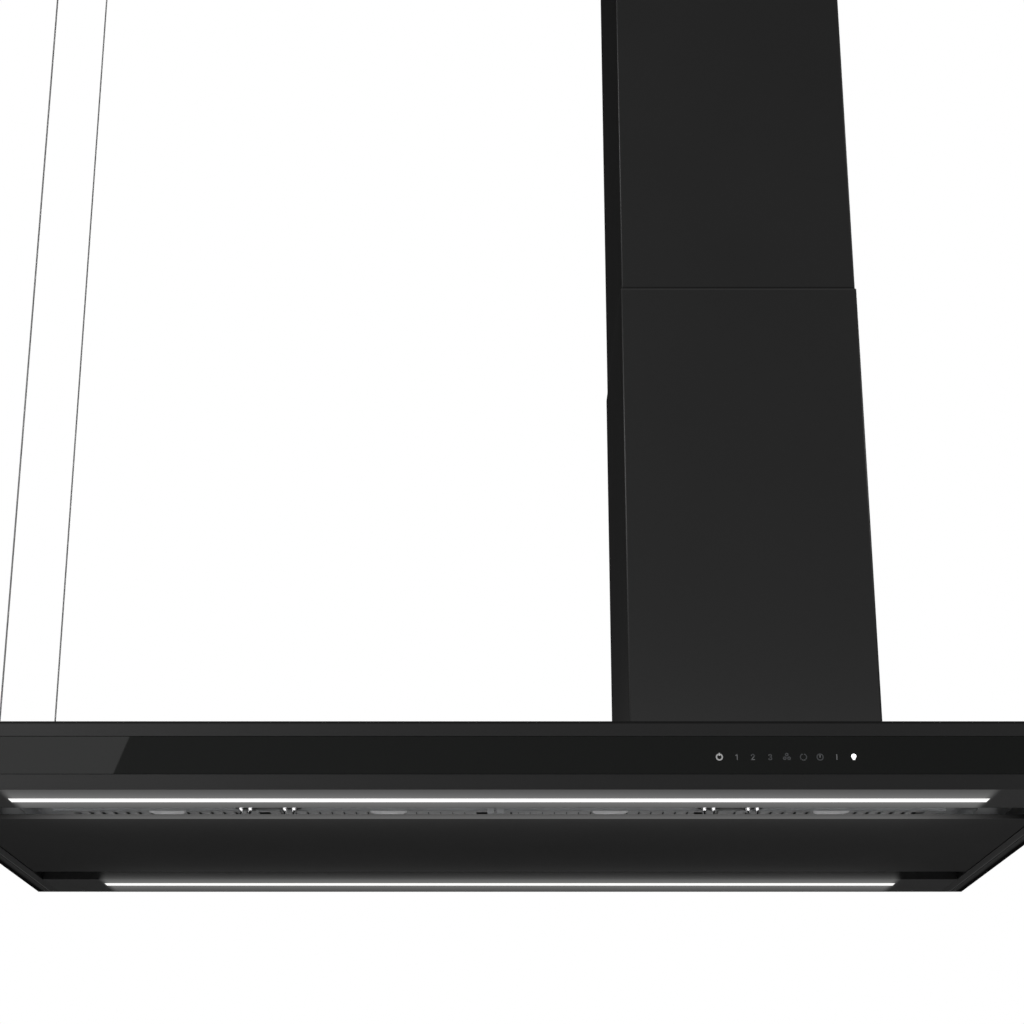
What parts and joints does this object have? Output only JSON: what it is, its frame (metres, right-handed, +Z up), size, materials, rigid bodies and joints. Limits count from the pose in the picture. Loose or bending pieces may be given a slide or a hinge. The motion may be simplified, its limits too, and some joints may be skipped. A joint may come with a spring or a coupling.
{
  "type": "island range hood",
  "caption": "Black ceiling-hung island range hood: flat canopy, perimeter suction panel, light strips, offset two-part chimney and steel support cables.",
  "frame": {"origin": "middle of the overall footprint at the canopy's lower rim, z up", "axes": "+X is to the right seen from the front, +Y to the back, +Z up; the controls face -Y; the chimney is to the right of the middle"},
  "size_m": [1.2, 0.65, 1.27],
  "materials": {
    "black_steel": "satin black powder coat",
    "cover_steel": "satin black powder coat",
    "panel_steel": "semi-gloss black powder coat",
    "bar_steel": "satin dark grey powder coat",
    "strip_glass": "opaque black back-painted glass, polished",
    "galvanised": "galvanised steel sheet",
    "zinc_screws": "zinc plated steel",
    "chrome": "polished chrome",
    "filter_alu": "anodised aluminium mesh",
    "profile_alu": "extruded aluminium",
    "diffuser": "opal diffuser, lit",
    "white_board": "white circuit board",
    "green_board": "green circuit board",
    "foam_seal": "black foam rubber",
    "black_plastic": "black moulded plastic",
    "light_plastic": "light grey moulded plastic",
    "motor_metal": "die-cast aluminium",
    "shaft_steel": "ground steel",
    "cable_steel": "stranded stainless steel"
  },
  "bodies": {
    "hood": {"canopy_shell": "black_steel", "front_channel": "galvanised", "control_glass": "strip_glass", "glass_gasket": "foam_seal", "touch_board": "green_board", "side_rails": "black_steel", "light_bar_front": "bar_steel", "light_bar_rear": "bar_steel", "led_profiles": "profile_alu", "led_boards": "white_board", "led_diffuser_front": "diffuser", "led_diffuser_rear": "diffuser", "filter_tray": "galvanised", "filter_rail_front": "galvanised", "filter_rail_rear": "galvanised", "grease_filter_1": "filter_alu", "grease_filter_2": "filter_alu", "grease_filter_3": "filter_alu", "grease_filter_4": "filter_alu", "catch_sockets": "black_plastic", "hinge_brackets": "galvanised", "tray_screws": "zinc_screws", "blower_gasket": "foam_seal", "blower_box": "galvanised", "blower_bolts": "zinc_screws", "fan_scroll": "light_plastic", "motor_bracket": "galvanised", "motor": "motor_metal", "outlet_collar": "black_plastic", "collar_flange": "black_plastic", "damper_pin": "shaft_steel", "electronics_box": "light_plastic", "electronics_lid": "light_plastic", "led_driver": "light_plastic", "run_capacitor": "profile_alu", "mains_gland": "black_plastic", "chimney_lower": "cover_steel", "frame_lower": "galvanised", "frame_upper": "galvanised", "frame_fasteners": "zinc_screws", "suspension_cable_front": "cable_steel", "suspension_cable_rear": "cable_steel", "control_board": "green_board", "cable_grippers": "chrome"},
    "panel": {"suction_panel": "panel_steel", "panel_stiffeners": "galvanised", "panel_studs": "chrome", "hinge_leaves": "galvanised", "hinge_pins": "shaft_steel"},
    "upper_cover": {"chimney_upper": "cover_steel"},
    "rotor": {"impeller": "black_plastic", "motor_shaft": "shaft_steel"},
    "flap_left": {"damper_flap_left": "black_plastic"},
    "flap_right": {"damper_flap_right": "black_plastic"},
    "latch_1": {"filter_latch_1": "chrome"},
    "latch_2": {"filter_latch_2": "chrome"},
    "latch_3": {"filter_latch_3": "chrome"},
    "latch_4": {"filter_latch_4": "chrome"},
    "sleeve_front": {"gripper_sleeve_front": "chrome"},
    "sleeve_rear": {"gripper_sleeve_rear": "chrome"}
  },
  "joints": [
    {"name": "panel_hinge", "type": "hinge", "parent": "hood", "child": "panel", "pos_m": [0, 0.178, 0.009], "axis": [1, 0, 0], "range_deg": [0, 85]},
    {"name": "chimney_slide", "type": "slide", "parent": "hood", "child": "upper_cover", "axis": [0, 0, 1], "range_m": [-0.48, 0]},
    {"name": "impeller_spin", "type": "hinge", "parent": "hood", "child": "rotor", "pos_m": [0.279, -0.037, 0.2], "axis": [1, 0, 0], "continuous": true},
    {"name": "damper_left", "type": "hinge", "parent": "hood", "child": "flap_left", "pos_m": [0.279, 0, 0.4], "axis": [0, 1, 0], "range_deg": [0, 75]},
    {"name": "damper_right", "type": "hinge", "parent": "hood", "child": "flap_right", "pos_m": [0.279, 0, 0.4], "axis": [0, -1, 0], "range_deg": [0, 75]},
    {"name": "latch_slide_1", "type": "slide", "parent": "hood", "child": "latch_1", "axis": [0, 1, 0], "range_m": [0, 0.006], "stiffness_N_per_m": 400},
    {"name": "latch_slide_2", "type": "slide", "parent": "hood", "child": "latch_2", "axis": [0, 1, 0], "range_m": [0, 0.006], "stiffness_N_per_m": 400},
    {"name": "latch_slide_3", "type": "slide", "parent": "hood", "child": "latch_3", "axis": [0, 1, 0], "range_m": [0, 0.006], "stiffness_N_per_m": 400},
    {"name": "latch_slide_4", "type": "slide", "parent": "hood", "child": "latch_4", "axis": [0, 1, 0], "range_m": [0, 0.006], "stiffness_N_per_m": 400},
    {"name": "release_front", "type": "slide", "parent": "hood", "child": "sleeve_front", "axis": [0, 0, 1], "range_m": [-0.003, 0], "stiffness_N_per_m": 1000},
    {"name": "release_rear", "type": "slide", "parent": "hood", "child": "sleeve_rear", "axis": [0, 0, 1], "range_m": [-0.003, 0], "stiffness_N_per_m": 1000}
  ]
}
